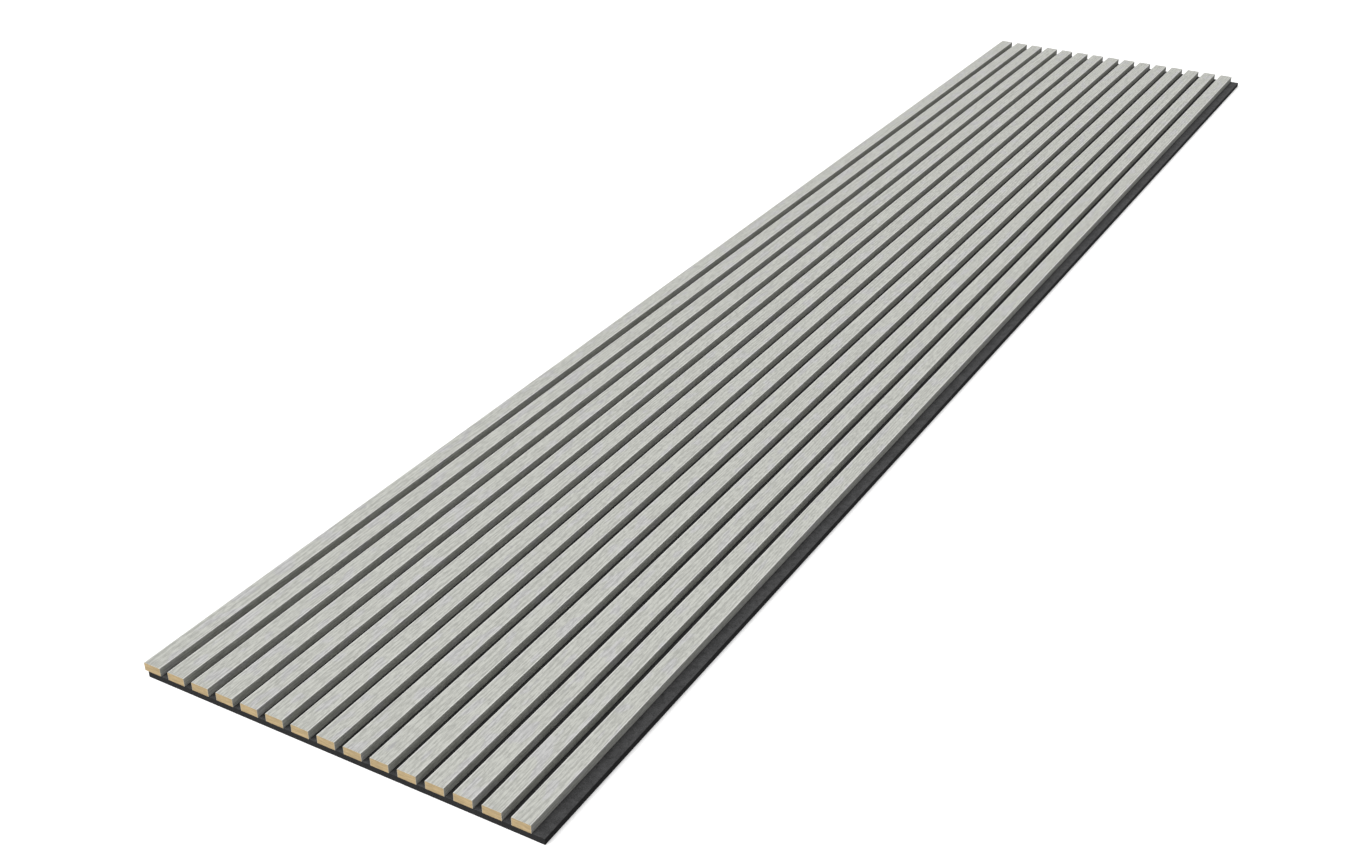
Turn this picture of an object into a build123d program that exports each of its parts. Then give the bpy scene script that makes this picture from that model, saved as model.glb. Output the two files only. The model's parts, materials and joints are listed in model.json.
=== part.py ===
"""An acoustic slat panel, lying on its back.

Fifteen fibreboard slats, each wrapped in a printed foil, are stapled side by side to a felt board.
The first slat stands out over the felt's left edge and the felt stands out past the last slat, so
that two panels laid side by side overlap and keep the same gap between all their slats.

+X runs across the slats, +Y along them and +Z out of the panel's face. The origin is at the middle
of the panel's footprint, on its back face. All sizes are in millimetres.
"""

from build123d import *

import os

# The panel
panel_length = 3000.0

# The slats, measured over their foil
slat_count = 15
slat_width = 27.0
slat_height = 12.0
slat_gap = 13.0

# The foil round each slat, and the rounded edge that it is bent over
foil_thickness = 0.4
core_edge_radius = 0.3

# The felt board
felt_thickness = 9.0
slat_overhang = 5.0

# The staples, driven in from the back, with both legs on the slat's centre line
staple_rows = 4
staple_end_distance = 100.0
staple_crown_width = 12.8
staple_wire_width = 0.95
staple_wire_thickness = 0.65
staple_shoulder = 0.5
staple_recess = 0.2
staple_clearance = 0.02
slat_left_above_staple = 5.0

# What follows from them
slat_pitch = slat_width + slat_gap
felt_width = slat_count * slat_pitch
panel_width = slat_overhang + felt_width
panel_left = -panel_width / 2
felt_centre = panel_left + slat_overhang + felt_width / 2
core_width = slat_width - 2 * foil_thickness
core_height = slat_height - foil_thickness
foil_edge_radius = core_edge_radius + foil_thickness
staple_tip = felt_thickness + slat_height - slat_left_above_staple
staple_row_pitch = (panel_length - 2 * staple_end_distance) / (staple_rows - 1)


def slat_centre(index):
    """The X of a slat's centre line, counted from the left."""
    return panel_left + slat_width / 2 + index * slat_pitch


def staple_row(index):
    """The Y of a row of staples, counted from the front end."""
    return -panel_length / 2 + staple_end_distance + index * staple_row_pitch


def rounded_section(width, height, radius):
    """A slat's cross-section, standing on X with its two upper corners rounded."""
    section = Pos(0, height / 2) * Rectangle(width, height)
    upper_corners = section.vertices().group_by(Axis.Y)[-1]
    return fillet(upper_corners, radius)


def run_along_panel(section):
    """The bar that a cross-section makes over the panel's whole length, standing on the felt."""
    bar = extrude(Plane.XZ * section, amount=panel_length / 2, both=True)
    return Pos(0, 0, felt_thickness) * bar


def staple():
    """One staple at Y = 0: a flat-wire bridge with cut shoulders and chisel points."""
    outside = staple_crown_width / 2
    inside = outside - staple_wire_thickness
    back = staple_recess
    under_crown = back + staple_wire_thickness
    chisel_heel = staple_tip - staple_wire_thickness
    half = [
        (outside - staple_shoulder, back),
        (outside, back + staple_shoulder),
        (outside, staple_tip),
        (inside, chisel_heel),
        (inside, under_crown),
    ]
    mirrored = [(-y, z) for y, z in reversed(half)]
    outline = make_face(Polyline(*half, *mirrored, close=True))
    return extrude(Plane.YZ * outline, amount=staple_wire_width / 2, both=True)


def staple_way():
    """The room that one staple takes in the felt and the slat, open at the back face."""
    outside = staple_crown_width / 2 + staple_clearance
    inside = staple_crown_width / 2 - staple_wire_thickness - staple_clearance
    below_back = -felt_thickness / 2
    under_crown = staple_recess + staple_wire_thickness
    end = staple_tip + staple_clearance
    half = [
        (outside, below_back),
        (outside, end),
        (inside, end),
        (inside, under_crown),
    ]
    mirrored = [(-y, z) for y, z in reversed(half)]
    outline = make_face(Polyline(*half, *mirrored, close=True))
    reach = staple_wire_width / 2 + staple_clearance
    return extrude(Plane.YZ * outline, amount=reach, both=True)


def slat_core():
    """One fibreboard slat at X = 0, with the slits that its staples have cut."""
    bar = run_along_panel(rounded_section(core_width, core_height, core_edge_radius))
    ways = [Pos(0, staple_row(row), 0) * staple_way() for row in range(staple_rows)]
    return bar - ways


def slat_foil():
    """The foil over one slat's face and both its sides, open at the ends and underneath."""
    outer = rounded_section(slat_width, slat_height, foil_edge_radius)
    inner = rounded_section(core_width, core_height, core_edge_radius)
    return run_along_panel(outer - inner)


def staple_places():
    """Where each staple sits: on every slat's centre line, in every row."""
    return [
        Pos(slat_centre(slat), staple_row(row), 0)
        for slat in range(slat_count)
        for row in range(staple_rows)
    ]


def felt_backing():
    """The felt board, with a sunk seat and two slits for each staple."""
    board = Pos(felt_centre, 0, felt_thickness / 2) * Box(felt_width, panel_length, felt_thickness)
    way = staple_way()
    return board - [place * way for place in staple_places()]


def staples():
    """All the staples, as one group of separate solids."""
    one = staple()
    return Compound([place * one for place in staple_places()])


def main():
    os.makedirs("parts", exist_ok=True)
    export_step(felt_backing(), "parts/felt_backing.step")
    export_step(staples(), "parts/staples.step")
    core = slat_core()
    foil = slat_foil()
    for index in range(slat_count):
        place = Pos(slat_centre(index), 0, 0)
        number = f"{index + 1:02d}"
        export_step(place * core, f"parts/slat_core_{number}.step")
        export_step(place * foil, f"parts/slat_foil_{number}.step")


main()
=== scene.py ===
"""The finish of an acoustic slat panel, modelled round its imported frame.

The frame holds fifteen fibreboard slats with a printed foil round each, the felt board that they
stand on and the staples that hold them. This script wraps the slats in a foil whose print runs
round their edges, lays a felt board with soft arrises and a dimple round each staple, drives
staples of rolled wire, finishes the fibreboard and sets up the studio.

All lengths are in metres and all colours are linear. +X runs across the slats, +Y along them and
+Z out of the panel's face.
"""

import json
import math
import random

import bmesh
import bpy
from bpy.props import FloatProperty, FloatVectorProperty, IntProperty, PointerProperty
from mathutils import Euler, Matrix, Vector

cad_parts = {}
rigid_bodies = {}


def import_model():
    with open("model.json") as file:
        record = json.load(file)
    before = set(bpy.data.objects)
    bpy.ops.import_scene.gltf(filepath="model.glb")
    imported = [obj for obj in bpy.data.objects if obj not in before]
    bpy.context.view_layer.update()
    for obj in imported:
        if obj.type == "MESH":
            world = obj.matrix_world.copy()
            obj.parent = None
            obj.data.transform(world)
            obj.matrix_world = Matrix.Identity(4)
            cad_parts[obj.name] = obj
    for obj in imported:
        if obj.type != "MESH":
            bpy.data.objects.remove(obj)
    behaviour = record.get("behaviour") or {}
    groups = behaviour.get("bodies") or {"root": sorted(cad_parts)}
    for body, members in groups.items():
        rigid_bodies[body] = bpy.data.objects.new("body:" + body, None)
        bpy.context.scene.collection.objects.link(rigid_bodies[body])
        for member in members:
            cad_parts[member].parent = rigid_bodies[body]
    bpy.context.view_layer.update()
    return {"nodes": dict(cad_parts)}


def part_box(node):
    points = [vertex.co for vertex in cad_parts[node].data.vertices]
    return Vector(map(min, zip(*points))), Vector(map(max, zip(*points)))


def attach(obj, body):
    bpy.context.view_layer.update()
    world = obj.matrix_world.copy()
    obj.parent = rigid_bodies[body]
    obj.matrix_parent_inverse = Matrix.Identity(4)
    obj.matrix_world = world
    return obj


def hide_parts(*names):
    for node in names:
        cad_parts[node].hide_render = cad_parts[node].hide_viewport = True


bl_info = {
    "name": "Acoustic slat panel",
    "version": (1, 0, 0),
    "blender": (4, 5, 0),
    "location": "View3D > Sidebar > Acoustic panel",
    "description": "Wraps, finishes and stages a slatted acoustic panel",
    "category": "Add Mesh",
}


def clear_startup_objects():
    """Takes out what a new Blender file holds, so that only the panel is in the scene."""
    for startup_object in list(bpy.data.objects):
        bpy.data.objects.remove(startup_object)


clear_startup_objects()
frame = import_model()

# What is read from the frame
body = "root"
foil_nodes = sorted(name for name in frame["nodes"] if name.startswith("slat_foil_"))
core_nodes = sorted(name for name in frame["nodes"] if name.startswith("slat_core_"))
foil_boxes = [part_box(name) for name in foil_nodes]
slat_centres = [(low.x + high.x) / 2 for low, high in foil_boxes]
slat_width = foil_boxes[0][1].x - foil_boxes[0][0].x
foil_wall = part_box(core_nodes[0])[0].x - foil_boxes[0][0].x
core_low, core_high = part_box(core_nodes[0])
felt_low, felt_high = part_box("felt_backing")
staples_low, staples_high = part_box("staples")
wire_width = 2 * (slat_centres[0] - staples_low.x)

# A tenth of a micrometre, under which two places are the same
tiny = 1e-7

# How many faces round each small bend, and the angle past which an edge is shaded as a sharp one
arris_segments = 4
shoulder_steps = 4
sharp_angle = math.radians(40)


def staple_rows():
    """The lowest and highest Y of each row of staples."""
    clear_space = 0.05
    places = sorted({vertex.co.y for vertex in frame["nodes"]["staples"].data.vertices})
    rows = [[places[0], places[0]]]
    for place in places[1:]:
        if place - rows[-1][1] > clear_space:
            rows.append([place, place])
        rows[-1][1] = place
    return rows


class Signal:
    """An output socket of a finish, whose arithmetic adds Math nodes."""

    def __init__(self, finish, socket):
        self.finish = finish
        self.socket = socket

    def math(self, operation, *values):
        return self.finish.add("ShaderNodeMath", {"operation": operation}, dict(enumerate(values)))

    def __add__(self, other):
        return self.math("ADD", self, other)

    def __radd__(self, other):
        return self.math("ADD", other, self)

    def __sub__(self, other):
        return self.math("SUBTRACT", self, other)

    def __rsub__(self, other):
        return self.math("SUBTRACT", other, self)

    def __mul__(self, other):
        return self.math("MULTIPLY", self, other)

    def __rmul__(self, other):
        return self.math("MULTIPLY", other, self)

    def __truediv__(self, other):
        return self.math("DIVIDE", self, other)

    def __pow__(self, other):
        return self.math("POWER", self, other)

    def __abs__(self):
        return self.math("ABSOLUTE", self)

    def sine(self):
        return self.math("SINE", self)

    def at_most(self, limit):
        return self.math("MINIMUM", self, limit)

    def or_more(self, other):
        return self.math("MAXIMUM", self, other)


class NodeTree:
    """A tree of shader nodes being made."""

    def __init__(self, owner):
        owner.use_nodes = True
        self.nodes = owner.node_tree.nodes
        self.links = owner.node_tree.links

    def add(self, kind, settings, inputs, output=0):
        """Adds a node: its settings come first, then the values or links of its sockets."""
        node = self.nodes.new(kind)
        for name, value in settings.items():
            setattr(node, name, value)
        for key, value in inputs.items():
            self.feed(node.inputs[key], value)
        return Signal(self, node.outputs[output])

    def feed(self, socket, value):
        """Links a signal to a socket, or sets the socket's own value."""
        if isinstance(value, Signal):
            self.links.new(value.socket, socket)
        else:
            socket.default_value = value

    def part(self, vector, axis):
        """One axis of a vector."""
        return self.add("ShaderNodeSeparateXYZ", {}, {0: vector}, axis)

    def shifted(self, vector, offset):
        """A vector moved by another."""
        return self.add("ShaderNodeVectorMath", {"operation": "ADD"}, {0: vector, 1: offset})

    def curled(self, vector, size, reach):
        """A vector moved sideways by noise with features of that size, so that straight lines curl."""
        values = {"Vector": vector, "Scale": 1.0 / size, "Detail": 0.0}
        pull = self.add("ShaderNodeTexNoise", {}, values, "Color")
        values = {0: pull, 1: (reach, reach, 0.0), 2: vector}
        return self.add("ShaderNodeVectorMath", {"operation": "MULTIPLY_ADD"}, values)

    def stretched(self, vector, sizes, turn=0.0):
        """A vector turned about Z, and divided by the size of a pattern's feature along each axis."""
        values = {"Vector": vector, "Rotation": (0.0, 0.0, turn), "Scale": sizes}
        return self.add("ShaderNodeMapping", {"vector_type": "TEXTURE"}, values)

    def noise(self, vector, detail=2.0, roughness=0.5, distortion=0.0):
        """Soft noise from 0 to 1, one feature long in each unit of the vector."""
        values = {
            "Vector": vector,
            "Scale": 1.0,
            "Detail": detail,
            "Roughness": roughness,
            "Distortion": distortion,
        }
        return self.add("ShaderNodeTexNoise", {}, values)

    def fade(self, value, low, high):
        """0 below the low value, 1 above the high one and a smooth step between them."""
        values = {"Value": value, "From Min": low, "From Max": high}
        return self.add("ShaderNodeMapRange", {"interpolation_type": "SMOOTHSTEP"}, values)

    def blend(self, share, first, second):
        """The first colour where the share is 0 and the second where it is 1."""
        return self.add("ShaderNodeMix", {"data_type": "RGBA"}, {0: share, 6: first, 7: second}, 2)

    def bump(self, height, distance, strength=1.0):
        """The normal of a surface whose height, from 0 to 1, spans that distance."""
        values = {"Height": height, "Distance": distance, "Strength": strength}
        return self.add("ShaderNodeBump", {}, values)


class Finish(NodeTree):
    """A material being made: its nodes, and the shader that they feed."""

    def __init__(self, name):
        self.material = bpy.data.materials.new(name)
        super().__init__(self.material)
        self.shader = self.nodes["Principled BSDF"]

    def set(self, **sockets):
        """Feeds the shader's sockets, whose names are given with underscores for spaces."""
        for name, value in sockets.items():
            self.feed(self.shader.inputs[name.replace("_", " ")], value)

    def place(self):
        """Where a point is in the panel's own frame, in metres."""
        return self.add("ShaderNodeTexCoord", {}, {}, "Object")

    def map_place(self, name):
        """Where a point is on one of the piece's own UV maps."""
        return self.add("ShaderNodeUVMap", {"uv_map": name}, {})

    def attribute(self, name):
        """A vector that the piece's points hold."""
        return self.add("ShaderNodeAttribute", {"attribute_name": name}, {}, "Vector")


def with_alpha(colour, factor=1.0):
    """A colour made lighter or darker by a factor, as a colour socket takes it."""
    return (*(min(1.0, channel * factor) for channel in colour), 1.0)


def printed_foil(settings):
    """A silk-matt foil, printed with a pale wood grain that runs along the slat."""
    finish = Finish("printed_foil")
    unrolled = finish.map_place("unrolled")
    across = finish.part(unrolled, "X")
    on_print = finish.shifted(unrolled, finish.attribute("print_origin"))
    print_across = finish.part(on_print, "X")

    # Growth rings, cut so that they wander across the slat and close into long flames
    wander = finish.noise(finish.stretched(on_print, (0.045, 0.65, 1.0)), 2.0, 0.45)
    ring_pitch = 0.0050
    flame_width = 0.040
    ring_phase = (print_across + wander * flame_width) * (2 * math.pi / ring_pitch)
    rings = (ring_phase.sine() * 0.5 + 0.5) ** 2.2

    # Streaks of three widths, and the slow change of tint from one stretch to the next
    broad_streaks = finish.noise(finish.stretched(on_print, (0.0030, 0.13, 1.0)), 1.0, 0.5)
    streaks = finish.noise(finish.stretched(on_print, (0.0022, 0.022, 1.0)), 2.0, 0.6)
    hair_streaks = finish.noise(finish.stretched(on_print, (0.0007, 0.035, 1.0)), 2.0, 0.6)
    tint = finish.noise(finish.stretched(on_print, (0.014, 0.040, 1.0)), 1.0, 0.4)

    # Short dark pores, which crowd in flecks and in the rings
    flecks = finish.noise(finish.stretched(on_print, (0.0022, 0.011, 1.0)), 1.0, 0.5)
    pore_noise = finish.noise(finish.stretched(on_print, (0.00028, 0.0075, 1.0)), 1.0, 0.5)
    pores = finish.fade(pore_noise + (flecks - 0.5) * 0.35 + rings * 0.08, 0.56, 0.68)

    grain = (
        (rings - 0.4) * 0.28
        + (broad_streaks - 0.5) * 0.6
        + (streaks - 0.5) * 1.2
        + (hair_streaks - 0.5) * 0.8
        + (flecks - 0.5) * 0.8
        + (pores - 0.2) * 0.7
    )
    shade = grain * settings.grain_contrast + 0.5
    cool_share = finish.fade(tint, 0.55, 0.66) * settings.tint_share
    light, dark = (
        finish.blend(cool_share, with_alpha(settings.colour, depth), with_alpha(settings.tint, depth))
        for depth in (1.0 + settings.grain_depth, 1.0 - settings.grain_depth)
    )
    wood = finish.blend(finish.fade(shade, 0.0, 1.0), light, dark)

    # Painted highlight: the print is painted paler along the slat's folded edges
    highlight_full_from = 0.0006
    highlight_full_to = 0.0010
    highlight_colour = (1.0, 1.0, 0.98, 1.0)
    from_fold = slat_width / 2 - abs(across)
    towards_face = finish.fade(from_fold, highlight_full_to, settings.fold_highlight_width)
    fold = finish.fade(from_fold, 0.0, highlight_full_from) - towards_face
    with_highlight = finish.blend(fold * settings.fold_highlight, wood, highlight_colour)

    # The foil's own cut end isn't printed
    bare_to = 0.00002
    printed_from = 0.0001
    middle = (core_low.y + core_high.y) / 2
    from_end = (core_high.y - core_low.y) / 2 - abs(finish.part(unrolled, "Y") - middle)
    cut_end = 1.0 - finish.fade(from_end, bare_to, printed_from)
    surface = finish.blend(cut_end, with_highlight, with_alpha(settings.cut_colour))

    relief = 1.0 - (pores * 0.6 + hair_streaks * 0.25 + streaks * 0.15)
    finish.set(
        Base_Color=surface,
        Roughness=0.46 + (streaks - 0.5) * 0.10 + pores * 0.12,
        Normal=finish.bump(relief, 0.00006, 0.6),
        Specular_IOR_Level=0.2,
    )
    return finish.material


def raw_fibreboard(settings):
    """Sawn fibreboard: felted wood fibres in flat layers, pressed harder towards its two faces."""
    finish = Finish("raw_fibreboard")
    place = finish.place()
    height = core_high.z - core_low.z
    depth = (finish.part(place, "Z") - core_low.z) / height
    from_middle = abs(depth * 2.0 - 1.0)
    skin = finish.fade(from_middle, 0.55, 1.0)

    layers = finish.noise(finish.stretched(place, (0.013, 0.013, 0.0018)), 3.0, 0.6)
    fibres = finish.noise(finish.stretched(place, (0.0016, 0.0016, 0.0003)), 3.0, 0.65)
    cloud = finish.noise(finish.stretched(place, (0.009, 0.009, 0.005)), 1.0, 0.5)
    fine_fibres = finish.noise(finish.stretched(place, (0.0011, 0.0011, 0.00035)))
    dark_fibres = finish.fade(fine_fibres, 0.60, 0.74)
    saw_line_pitch = 0.0009
    saw_lines = (finish.part(place, "X") * (2 * math.pi / saw_line_pitch) + cloud * 5.0).sine()

    shade = (
        (layers - 0.5) * 1.6
        + (fibres - 0.5) * 0.7
        + (cloud - 0.5) * 0.4
        + dark_fibres * 0.45
        + skin * 0.12
        + saw_lines * 0.03
    )
    light = with_alpha(settings.colour, 1.16)
    dark = with_alpha(settings.colour, 0.80)
    board = finish.blend(finish.fade(shade + 0.5, 0.0, 1.0), light, dark)
    relief = fibres * 0.6 + saw_lines * 0.1 + layers * 0.3
    finish.set(
        Base_Color=board,
        Roughness=0.82 + (fibres - 0.5) * 0.15,
        Normal=finish.bump(relief, 0.00015, 0.7),
        Specular_IOR_Level=0.3,
    )
    return finish.material


def charcoal_felt(settings):
    """Needled felt board: matted charcoal fibres with paler ones among them, in pressed layers."""
    finish = Finish("charcoal_felt")
    place = finish.place()
    clumps = finish.noise(finish.stretched(place, (0.0065, 0.0085, 0.006)), 3.0, 0.6, 0.4)
    drifts = finish.noise(finish.stretched(place, (0.035, 0.055, 0.02)), 2.0, 0.5)
    mat = finish.noise(finish.stretched(place, (0.0013, 0.0013, 0.0009)), 3.0, 0.7, 1.2)
    curled = finish.curled(place, 0.0036, 0.0034)
    strands = 0.0
    for degrees in (12, 56, 103, 149):
        lie = finish.stretched(curled, (0.0060, 0.00020, 0.0012), math.radians(degrees))
        strands = strands + finish.fade(finish.noise(lie, 1.0, 0.5, 0.6), 0.58, 0.74)
    strands = strands.at_most(1.0)
    layers = finish.noise(finish.stretched(place, (0.03, 0.03, 0.0008)), 2.0, 0.6)

    shade = (
        (clumps - 0.5) * 1.7
        + (drifts - 0.5) * 0.2
        + (mat - 0.5) * 0.8
        + (layers - 0.5) * 0.35
    )
    dark = with_alpha(settings.colour, 0.62)
    light = with_alpha(settings.colour, 1.40)
    matted = finish.blend(finish.fade(shade + 0.5, 0.0, 1.0), dark, light)
    fibres = finish.blend(strands * settings.strand_share, matted, with_alpha(settings.strand_colour))

    # Painted shade: the board's cut edges, its sides, are painted darker than its top
    painted_shade_colour = with_alpha(settings.colour, 0.25)
    cut_starts = -0.0006
    cut_is_full = -0.0002
    past_side, past_end = (
        abs(finish.part(place, axis) - (felt_low[index] + felt_high[index]) / 2) - half
        for index, (axis, half) in enumerate(zip("XY", ((felt_high - felt_low) / 2)[:2]))
    )
    cut = finish.fade(past_side.or_more(past_end), cut_starts, cut_is_full)
    fibres = finish.blend(cut * settings.cut_shade, fibres, painted_shade_colour)

    # Painted shade: the top is painted darker down in the gaps between the slats, where shade falls,
    # and least so at their open ends
    last_side = slat_centres[-1] + slat_width / 2
    border = 0.0005
    gap_end = 0.010
    below_top = 0.0004
    just_below_top = 0.0001
    height = finish.part(place, "Z")
    on_top = finish.fade(height, felt_high.z - below_top, felt_high.z - just_below_top)
    beyond_slats = finish.fade(finish.part(place, "X"), last_side - border, last_side + border)
    near_end = finish.fade(past_end, -gap_end, 0.0)
    gaps = on_top * (1.0 - beyond_slats) * (1.0 - near_end)
    fibres = finish.blend(gaps * settings.gap_shade, fibres, painted_shade_colour)
    relief = mat * 0.5 + strands * 0.3 + clumps * 0.2
    finish.set(
        Base_Color=fibres,
        Roughness=1.0 - strands * 0.12,
        Normal=finish.bump(relief, 0.0006, 0.8),
        Specular_IOR_Level=0.15,
        Sheen_Weight=0.05,
        Sheen_Roughness=0.6,
        Sheen_Tint=(0.75, 0.76, 0.80, 1.0),
    )
    return finish.material


def galvanised_wire(settings):
    """Flattened wire with a dull zinc coat, drawn in fine lines along its length."""
    finish = Finish("galvanised_wire")
    place = finish.place()
    drawn = finish.noise(finish.stretched(place, (0.00012, 0.004, 0.004)), 2.0, 0.6)
    spangle = finish.noise(finish.stretched(place, (0.0012, 0.0012, 0.0012)), 2.0, 0.5)
    shade = (drawn - 0.5) * 0.6 + (spangle - 0.5) * 0.7 + 0.5
    light = with_alpha(settings.colour, 1.12)
    dark = with_alpha(settings.colour, 0.78)
    finish.set(
        Base_Color=finish.blend(finish.fade(shade, 0.0, 1.0), light, dark),
        Metallic=1.0,
        Roughness=0.38 + (spangle - 0.5) * 0.2,
        Normal=finish.bump(drawn, 0.00002, 0.5),
    )
    return finish.material


def studio_floor(settings):
    """The floor's plain matt paint, with the faintest cloud in it."""
    finish = Finish("studio_floor")
    cloud = finish.noise(finish.stretched(finish.place(), (0.8, 0.8, 0.8)), 2.0, 0.5)
    light = with_alpha(settings.floor_colour)
    dark = with_alpha(settings.floor_colour, 0.985)
    finish.set(
        Base_Color=finish.blend(cloud, light, dark),
        Roughness=0.9,
        Specular_IOR_Level=0.0,
        Emission_Color=(1.0, 1.0, 1.0, 1.0),
        Emission_Strength=settings.floor_glow,
    )
    return finish.material


def add_piece(name, bm, material, slot, *replaced):
    """Makes a piece of a finished mesh, which rides on the panel and stands for its CAD nodes."""
    mesh = bpy.data.meshes.new(name)
    bm.to_mesh(mesh)
    bm.free()
    mesh.shade_smooth()
    mesh.set_sharp_from_angle(angle=sharp_angle)
    mesh.materials.append(material)
    piece = bpy.data.objects.new(name, mesh)
    bpy.context.scene.collection.objects.link(piece)
    shading = piece.modifiers.new("even_shading", "WEIGHTED_NORMAL")
    shading.keep_sharp = True
    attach(piece, body)
    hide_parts(*replaced)
    return piece


def all_of(bm):
    """Every vertex, edge and face of a mesh."""
    return [*bm.verts, *bm.edges, *bm.faces]


def vertices_in(geometry):
    """The vertices in the result of an operator."""
    return [element for element in geometry if isinstance(element, bmesh.types.BMVert)]


def folded_foil(low, high, edge_radius, edge_segments):
    """A strip of foil, folded over a slat's two upper edges."""
    bm = bmesh.new()
    line = [(low.x, low.z), (low.x, high.z), (high.x, high.z), (high.x, low.z)]
    corners = [bm.verts.new((x, low.y, z)) for x, z in line]
    edges = [bm.edges.new(ends) for ends in zip(corners, corners[1:])]
    strip = bmesh.ops.extrude_edge_only(bm, edges=edges)
    far_end = vertices_in(strip["geom"])
    bmesh.ops.translate(bm, vec=(0, high.y - low.y, 0), verts=far_end)
    folds = [edge for edge in bm.edges if len(edge.link_faces) == 2]
    bmesh.ops.bevel(
        bm,
        geom=folds,
        offset=edge_radius,
        offset_type="OFFSET",
        segments=edge_segments,
        profile=0.5,
        affect="EDGES",
        material=-1,
    )
    bmesh.ops.recalc_face_normals(bm, faces=bm.faces[:])
    bmesh.ops.solidify(bm, geom=bm.faces[:], thickness=foil_wall)
    return bm


def unroll(bm, low, high):
    """Gives a foil the UV map of the flat strip that it was: across the slat's edges, and along it."""
    unrolled = bm.loops.layers.uv.new("unrolled")
    middle = (low.x + high.x) / 2
    for face in bm.faces:
        for loop in face.loops:
            from_middle = loop.vert.co.x - middle
            down_the_side = high.z - loop.vert.co.z
            across = from_middle + math.copysign(down_the_side, from_middle)
            loop[unrolled].uv = (across, loop.vert.co.y)


def set_print_origin(bm, origin):
    """Says which part of the print a foil was cut from."""
    layer = bm.verts.layers.float_vector.new("print_origin")
    for vertex in bm.verts:
        vertex[layer] = origin


def cut_across(bm, axis, places):
    """Cuts a mesh by a plane at each place along an axis."""
    direction = Vector((0, 0, 0))
    direction[axis] = 1.0
    for place in places:
        bmesh.ops.bisect_plane(
            bm,
            geom=all_of(bm),
            dist=tiny,
            plane_co=direction * place,
            plane_no=direction,
        )


def within(point, low_x, high_x, low_y, high_y):
    """Whether a point is over a rectangle, its border included."""
    return low_x - tiny < point.x < high_x + tiny and low_y - tiny < point.y < high_y + tiny


def felt_blank(arris_radius):
    """The felt board before it is stapled, with its arrises rounded."""
    bm = bmesh.new()
    bmesh.ops.create_cube(bm, size=1)
    bmesh.ops.scale(bm, vec=felt_high - felt_low, verts=bm.verts)
    bmesh.ops.translate(bm, vec=(felt_low + felt_high) / 2, verts=bm.verts)
    bmesh.ops.bevel(
        bm,
        geom=bm.edges[:],
        offset=arris_radius,
        offset_type="OFFSET",
        segments=arris_segments,
        profile=0.5,
        affect="EDGES",
        material=-1,
    )
    return bm


def press_staple_seats(bm, rows, seat_half, seat_depth, dimple_reach, leg_room):
    """Sinks a dimple for each staple's crown into the felt's back, and cuts the slits of its legs."""
    cut_across(bm, 0, [
        centre + side * reach
        for centre in slat_centres
        for side in (-1, 1)
        for reach in (seat_half, seat_half + dimple_reach)
    ])
    cut_across(bm, 1, [
        place
        for first, last in rows
        for place in (
            first - dimple_reach,
            first,
            first + leg_room,
            last - leg_room,
            last,
            last + dimple_reach,
        )
    ])
    seats = [
        (centre - seat_half, centre + seat_half, first, last)
        for centre in slat_centres
        for first, last in rows
    ]
    back = [vertex for vertex in bm.verts if abs(vertex.co.z - felt_low.z) < tiny]
    sunk = [vertex for vertex in back if any(within(vertex.co, *seat) for seat in seats)]
    bmesh.ops.translate(bm, vec=(0, 0, seat_depth), verts=sunk)
    slits = [
        (low_x, high_x, low_y, high_y)
        for low_x, high_x, first, last in seats
        for low_y, high_y in ((first, first + leg_room), (last - leg_room, last))
    ]
    for slit in slits:
        caps = [face for face in bm.faces if within(face.calc_center_median(), *slit)]
        rims = [edge for cap in caps for edge in cap.edges]
        bmesh.ops.delete(bm, geom=caps, context="FACES_ONLY")
        bmesh.ops.bridge_loops(bm, edges=rims)


def rolled_staple(crown, tip, back, thickness, shoulder_radius):
    """One staple at X = Y = 0: rolled wire up one leg, along the crown and up the other leg."""
    bm = bmesh.new()
    start = bmesh.ops.create_grid(bm, x_segments=1, y_segments=1, size=0.5)
    bmesh.ops.scale(bm, vec=(wire_width, thickness, 1), verts=start["verts"])
    leg_place = crown / 2 - thickness / 2
    bmesh.ops.translate(bm, vec=(0, -leg_place, tip), verts=start["verts"])
    end = all_of(bm)
    leg = tip - back - shoulder_radius
    straight_crown = crown - 2 * shoulder_radius
    inner_corner = crown / 2 - shoulder_radius
    runs = [
        ((0, 0, -leg), (0, -inner_corner, back + shoulder_radius)),
        ((0, straight_crown, 0), (0, inner_corner, back + shoulder_radius)),
        ((0, 0, leg), None),
    ]
    for run, shoulder in runs:
        end = bmesh.ops.extrude_face_region(bm, geom=end)["geom"]
        bmesh.ops.translate(bm, vec=run, verts=vertices_in(end))
        if shoulder:
            turned = bmesh.ops.spin(
                bm,
                geom=end,
                cent=shoulder,
                axis=(1, 0, 0),
                angle=math.radians(90),
                steps=shoulder_steps,
                use_duplicate=False,
            )
            end = turned["geom_last"]
    inner_tips = [
        vertex
        for vertex in bm.verts
        if abs(vertex.co.z - tip) < tiny and abs(vertex.co.y) < leg_place
    ]
    bmesh.ops.translate(bm, vec=(0, 0, -thickness), verts=inner_tips)
    bmesh.ops.recalc_face_normals(bm, faces=bm.faces[:])
    return bm


def repeat_at(bm, places):
    """Copies a mesh to each place and takes out the one that it was copied from."""
    pattern = all_of(bm)
    for place in places:
        copied = bmesh.ops.duplicate(bm, geom=pattern)["geom"]
        bmesh.ops.translate(bm, vec=place, verts=vertices_in(copied))
    bmesh.ops.delete(bm, geom=vertices_in(pattern), context="VERTS")


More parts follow.
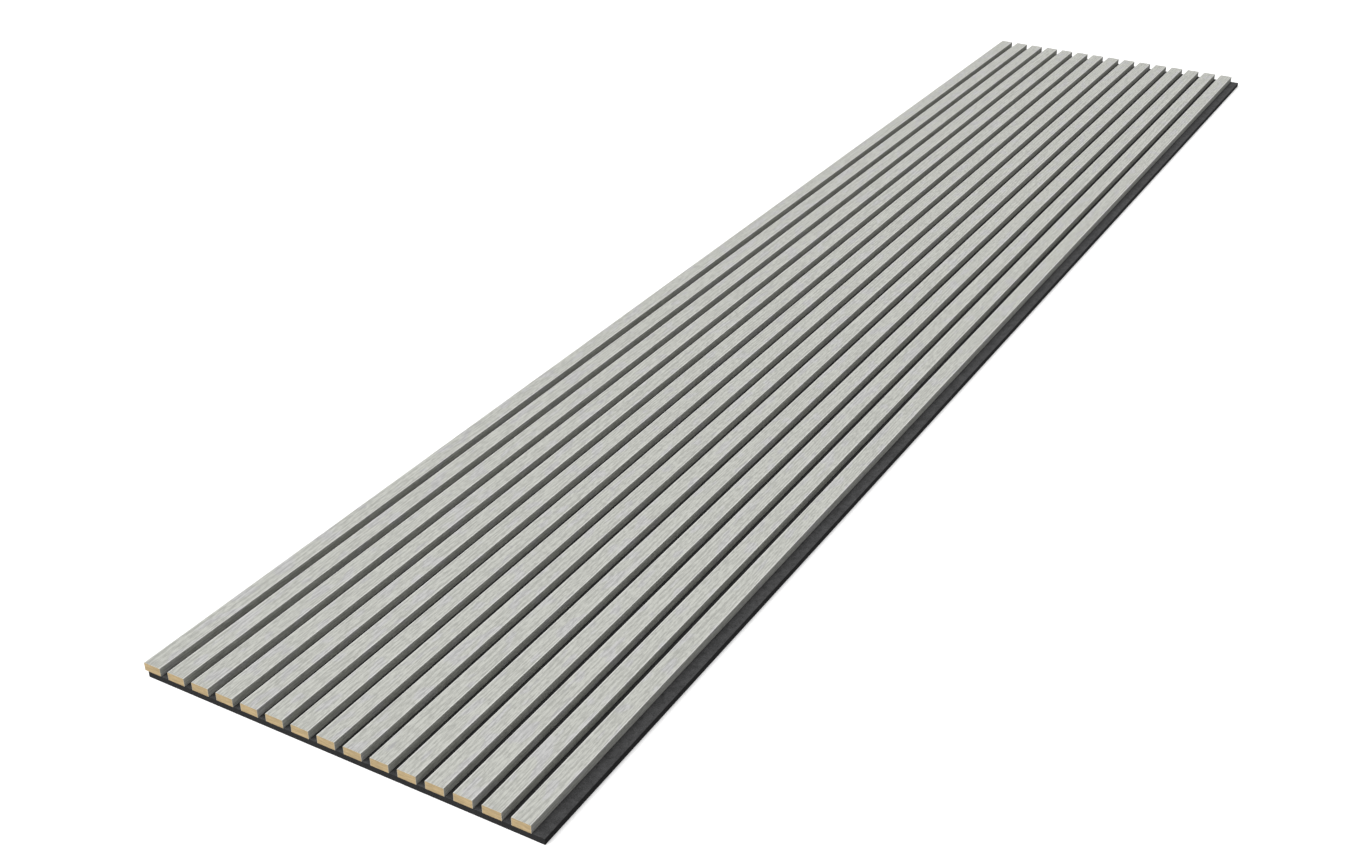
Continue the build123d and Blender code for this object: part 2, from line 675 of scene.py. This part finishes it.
class FoilSettings(bpy.types.PropertyGroup):
    """The printed foil round the slats."""

    colour: FloatVectorProperty(
        name="Colour", description="The print's main colour", subtype="COLOR", size=3,
        min=0.0, max=1.0, default=(0.515, 0.520, 0.482),
    )
    tint: FloatVectorProperty(
        name="Tint", description="The cooler colour that drifts through the print", subtype="COLOR",
        size=3, min=0.0, max=1.0, default=(0.516, 0.512, 0.522),
    )
    tint_share: FloatProperty(
        name="Tint share", description="How far the print goes over to the cooler colour",
        min=0.0, max=1.0, default=0.65,
    )
    grain_depth: FloatProperty(
        name="Grain depth", description="How much lighter and darker than its colour the grain gets",
        min=0.0, max=0.5, default=0.19,
    )
    grain_contrast: FloatProperty(
        name="Grain contrast", description="How sharply light and dark grain part",
        min=0.0, max=3.0, default=1.0,
    )
    # Painted highlight along the slats' folded edges: how strong it is, and how far it reaches
    fold_highlight: FloatProperty(
        name="Paling at the edges", description="How much the print pales where it is stretched",
        min=0.0, max=1.0, default=0.45,
    )
    fold_highlight_width: FloatProperty(
        name="Width of the paling", description="How far from the slat's edge the print is paler",
        unit="LENGTH", precision=4, min=0.0011, max=0.01, default=0.0019,
    )
    cut_colour: FloatVectorProperty(
        name="Cut colour", description="The unprinted foil that shows at the slats' ends",
        subtype="COLOR", size=3, min=0.0, max=1.0, default=(0.68, 0.63, 0.52),
    )
    edge_radius: FloatProperty(
        name="Edge radius", description="The radius that the foil is folded to", unit="LENGTH",
        precision=4, min=0.0005, max=0.004, default=0.0007,
    )
    edge_segments: IntProperty(
        name="Edge segments", description="Faces across each folded edge", min=2, max=12, default=6,
    )


class FibreboardSettings(bpy.types.PropertyGroup):
    """The slats' cores."""

    colour: FloatVectorProperty(
        name="Colour", description="The sawn board's main colour", subtype="COLOR", size=3,
        min=0.0, max=1.0, default=(0.600, 0.450, 0.246),
    )


class FeltSettings(bpy.types.PropertyGroup):
    """The felt board."""

    colour: FloatVectorProperty(
        name="Colour", description="The matted fibres' colour", subtype="COLOR", size=3,
        min=0.0, max=1.0, default=(0.0492, 0.0492, 0.0498),
    )
    strand_colour: FloatVectorProperty(
        name="Strand colour", description="The paler fibres' colour", subtype="COLOR", size=3,
        min=0.0, max=1.0, default=(0.145, 0.145, 0.148),
    )
    strand_share: FloatProperty(
        name="Strand share", description="How strongly the paler fibres show",
        min=0.0, max=1.0, default=0.6,
    )
    # Painted shade on the board's cut edges
    cut_shade: FloatProperty(
        name="Shade of cut edges", description="How much darker the board's cut edges look",
        min=0.0, max=1.0, default=0.74,
    )
    # Painted shade on the board's top between the slats
    gap_shade: FloatProperty(
        name="Shade in the gaps", description="How much darker the board looks between the slats",
        min=0.0, max=1.0, default=0.68,
    )
    arris_radius: FloatProperty(
        name="Arris radius", description="The radius of the board's soft edges", unit="LENGTH",
        precision=4, min=0.0002, max=0.003, default=0.0008,
    )
    dimple_reach: FloatProperty(
        name="Dimple reach", description="How far the felt dips round a staple's crown",
        unit="LENGTH", precision=4, min=0.0005, max=0.005, default=0.0028,
    )


class StapleSettings(bpy.types.PropertyGroup):
    """The staples that are driven in from the back."""

    colour: FloatVectorProperty(
        name="Colour", description="The zinc coat's colour", subtype="COLOR", size=3,
        min=0.0, max=1.0, default=(0.62, 0.63, 0.65),
    )
    wire_thickness: FloatProperty(
        name="Wire thickness", description="The rolled wire's thinner side", unit="LENGTH",
        precision=5, min=0.0002, max=0.002, default=0.00065,
    )
    shoulder_radius: FloatProperty(
        name="Shoulder radius", description="The outer radius between crown and leg",
        unit="LENGTH", precision=5, min=0.0007, max=0.003, default=0.0009,
    )
    room: FloatProperty(
        name="Room", description="The room round the wire in the felt", unit="LENGTH",
        precision=5, min=0.0, max=0.001, default=0.00002,
    )


class StudioSettings(bpy.types.PropertyGroup):
    """The camera, the lights and the floor."""

    lens: FloatProperty(
        name="Lens", description="The camera's focal length in millimetres on a 36 mm frame",
        min=10.0, max=200.0, default=44.98,
    )
    view_turn: FloatProperty(
        name="View turn", description="How far round to the right of the near end the camera stands",
        subtype="ANGLE", default=math.radians(29.97),
    )
    view_tilt: FloatProperty(
        name="View tilt", description="How far the camera looks down", subtype="ANGLE",
        default=math.radians(29.99),
    )
    view_distance: FloatProperty(
        name="View distance", description="From the camera to the point that it looks at",
        unit="LENGTH", min=0.1, default=2.6802,
    )
    view_target: FloatVectorProperty(
        name="View target", description="The point on the floor in the middle of the picture",
        subtype="TRANSLATION", unit="LENGTH", size=3, default=(-0.0208, -0.6339, 0.0),
    )
    light_turn: FloatProperty(
        name="Light turn", description="How far round to the left of the near end the light stands",
        subtype="ANGLE", default=math.radians(25),
    )
    light_height: FloatProperty(
        name="Light height", description="How steeply the light comes down", subtype="ANGLE",
        default=math.radians(52),
    )
    light_strength: FloatProperty(
        name="Light strength", description="What the light gives a surface that faces it, in W/m2",
        min=0.0, default=3.2,
    )
    light_spread: FloatProperty(
        name="Light spread", description="How wide the light looks, which softens shadows",
        subtype="ANGLE", default=math.radians(64),
    )
    room_light: FloatProperty(
        name="Room light", description="How bright the room is overhead", min=0.0, default=0.18,
    )
    wall_light: FloatProperty(
        name="Wall light", description="How bright the room's walls are low down",
        min=0.0, default=0.48,
    )
    floor_light: FloatProperty(
        name="Floor light", description="How much light comes up from the floor",
        min=0.0, default=0.36,
    )
    floor_colour: FloatVectorProperty(
        name="Floor colour", description="The floor's paint", subtype="COLOR", size=3,
        min=0.0, max=1.0, default=(0.93, 0.93, 0.93),
    )
    floor_glow: FloatProperty(
        name="Floor glow", description="How much light the floor gives off itself",
        min=0.0, default=0.32,
    )
    floor_radius: FloatProperty(
        name="Floor radius", description="How far the floor reaches", unit="LENGTH",
        min=1.0, default=60.0,
    )


class ACOUSTIC_PANEL_OT_wrap_slats(bpy.types.Operator):
    """Folds a printed foil over each slat"""

    bl_idname = "acoustic_panel.wrap_slats"
    bl_label = "Wrap the slats"

    def execute(self, context):
        settings = context.scene.panel_foil
        material = printed_foil(settings)
        pick = random.Random(15)
        for number, (node, (low, high)) in enumerate(zip(foil_nodes, foil_boxes), start=1):
            bm = folded_foil(low, high, settings.edge_radius, settings.edge_segments)
            unroll(bm, low, high)
            origin = (pick.uniform(0, 9), pick.uniform(0, 9), pick.uniform(0, 90))
            set_print_origin(bm, origin)
            add_piece(f"foil_wrap_{number:02d}", bm, material, "foil", node)
        return {"FINISHED"}


class ACOUSTIC_PANEL_OT_finish_cores(bpy.types.Operator):
    """Gives the slats' cores the look of sawn fibreboard"""

    bl_idname = "acoustic_panel.finish_cores"
    bl_label = "Finish the cores"

    def execute(self, context):
        material = raw_fibreboard(context.scene.panel_fibreboard)
        for name in core_nodes:
            core = frame["nodes"][name]
            core.data.materials.clear()
            core.data.materials.append(material)
        return {"FINISHED"}


class ACOUSTIC_PANEL_OT_lay_felt(bpy.types.Operator):
    """Lays the felt board, with a dimple and two slits for each staple"""

    bl_idname = "acoustic_panel.lay_felt"
    bl_label = "Lay the felt"

    def execute(self, context):
        settings = context.scene.panel_felt
        wire = context.scene.panel_staples
        bm = felt_blank(settings.arris_radius)
        press_staple_seats(
            bm,
            [(first - wire.room, last + wire.room) for first, last in staple_rows()],
            wire_width / 2 + wire.room,
            staples_low.z - felt_low.z + wire.wire_thickness,
            settings.dimple_reach,
            wire.wire_thickness + 2 * wire.room,
        )
        add_piece("felt_board", bm, charcoal_felt(settings), "felt", "felt_backing")
        return {"FINISHED"}


class ACOUSTIC_PANEL_OT_drive_staples(bpy.types.Operator):
    """Drives the staples in from the back"""

    bl_idname = "acoustic_panel.drive_staples"
    bl_label = "Drive the staples"

    def execute(self, context):
        settings = context.scene.panel_staples
        rows = staple_rows()
        crown = rows[0][1] - rows[0][0]
        bm = rolled_staple(
            crown, staples_high.z, staples_low.z, settings.wire_thickness, settings.shoulder_radius
        )
        places = [(x, (first + last) / 2, 0) for x in slat_centres for first, last in rows]
        repeat_at(bm, places)
        add_piece("wire_staples", bm, galvanised_wire(settings), "staple_wire", "staples")
        return {"FINISHED"}


class ACOUSTIC_PANEL_OT_set_up_studio(bpy.types.Operator):
    """Sets up the floor, the lights and the camera"""

    bl_idname = "acoustic_panel.set_up_studio"
    bl_label = "Set up the studio"

    def execute(self, context):
        settings = context.scene.panel_studio
        scene = context.scene
        self.lay_floor(scene, settings)
        self.hang_light(scene, settings)
        self.light_room(scene, settings)
        self.place_camera(scene, settings)
        scene.view_settings.view_transform = "Standard"
        return {"FINISHED"}

    def lay_floor(self, scene, settings):
        """A round floor, just under the panel."""
        under_panel = 0.0001
        bm = bmesh.new()
        bmesh.ops.create_circle(bm, cap_ends=True, segments=96, radius=settings.floor_radius)
        bmesh.ops.translate(bm, vec=(0, 0, felt_low.z - under_panel), verts=bm.verts)
        mesh = bpy.data.meshes.new("studio_floor")
        bm.to_mesh(mesh)
        bm.free()
        mesh.materials.append(studio_floor(settings))
        floor = bpy.data.objects.new("studio_floor", mesh)
        scene.collection.objects.link(floor)
        floor.visible_diffuse = False
        floor.visible_glossy = False

    def hang_light(self, scene, settings):
        """One large soft light, high to the left of the near end."""
        lamp = bpy.data.lights.new("soft_key", "SUN")
        lamp.energy = settings.light_strength
        lamp.angle = settings.light_spread
        light = bpy.data.objects.new("soft_key", lamp)
        light.rotation_euler = Euler((math.pi / 2 - settings.light_height, 0, -settings.light_turn))
        scene.collection.objects.link(light)

    def light_room(self, scene, settings):
        """A dim room with lighter walls and some light from below, which the camera sees as white."""
        world = bpy.data.worlds.new("studio_room")
        tree = NodeTree(world)
        height = tree.part(tree.add("ShaderNodeTexCoord", {}, {}, "Generated"), "Z")
        strength = (
            tree.fade(height, -0.02, 0.02) * (settings.wall_light - settings.floor_light)
            + tree.fade(height, 0.30, 0.55) * (settings.room_light - settings.wall_light)
            + settings.floor_light
        )
        room = tree.add("ShaderNodeBackground", {}, {"Color": (1, 1, 1, 1), "Strength": strength})
        backdrop = tree.add("ShaderNodeBackground", {}, {"Color": (1, 1, 1, 1), "Strength": 1.0})
        seen = tree.add("ShaderNodeLightPath", {}, {}, "Is Camera Ray")
        shown = tree.add("ShaderNodeMixShader", {}, {0: seen, 1: room, 2: backdrop})
        tree.feed(tree.nodes["World Output"].inputs["Surface"], shown)
        scene.world = world

    def place_camera(self, scene, settings):
        """The camera, turned to the right of the near end and looking down the panel."""
        lens = bpy.data.cameras.new("studio_camera")
        lens.lens = settings.lens
        camera = bpy.data.objects.new("studio_camera", lens)
        camera.rotation_euler = Euler((math.pi / 2 - settings.view_tilt, 0, settings.view_turn))
        looking = camera.rotation_euler.to_matrix() @ Vector((0, 0, -1))
        camera.location = Vector(settings.view_target) - looking * settings.view_distance
        scene.collection.objects.link(camera)
        scene.camera = camera


class ACOUSTIC_PANEL_PT_sidebar(bpy.types.Panel):
    """The panel's sizes, colours and steps"""

    bl_idname = "ACOUSTIC_PANEL_PT_sidebar"
    bl_label = "Acoustic panel"
    bl_space_type = "VIEW_3D"
    bl_region_type = "UI"
    bl_category = "Acoustic panel"

    def draw(self, context):
        for name, (label, _, step) in settings_groups.items():
            box = self.layout.box()
            box.label(text=label)
            group = getattr(context.scene, name)
            for key in group.__annotations__:
                box.prop(group, key)
            box.operator(step.bl_idname)


settings_groups = {
    "panel_foil": ("Foil", FoilSettings, ACOUSTIC_PANEL_OT_wrap_slats),
    "panel_fibreboard": ("Fibreboard", FibreboardSettings, ACOUSTIC_PANEL_OT_finish_cores),
    "panel_felt": ("Felt", FeltSettings, ACOUSTIC_PANEL_OT_lay_felt),
    "panel_staples": ("Staples", StapleSettings, ACOUSTIC_PANEL_OT_drive_staples),
    "panel_studio": ("Studio", StudioSettings, ACOUSTIC_PANEL_OT_set_up_studio),
}


def register():
    for name, (_, group, step) in settings_groups.items():
        bpy.utils.register_class(group)
        bpy.utils.register_class(step)
        setattr(bpy.types.Scene, name, PointerProperty(type=group))
    bpy.utils.register_class(ACOUSTIC_PANEL_PT_sidebar)


def unregister():
    bpy.utils.unregister_class(ACOUSTIC_PANEL_PT_sidebar)
    for name, (_, group, step) in reversed(settings_groups.items()):
        delattr(bpy.types.Scene, name)
        bpy.utils.unregister_class(step)
        bpy.utils.unregister_class(group)


def main():
    register()
    bpy.ops.acoustic_panel.wrap_slats()
    bpy.ops.acoustic_panel.finish_cores()
    bpy.ops.acoustic_panel.lay_felt()
    bpy.ops.acoustic_panel.drive_staples()
    bpy.ops.acoustic_panel.set_up_studio()


if __name__ == "__main__":
    main()
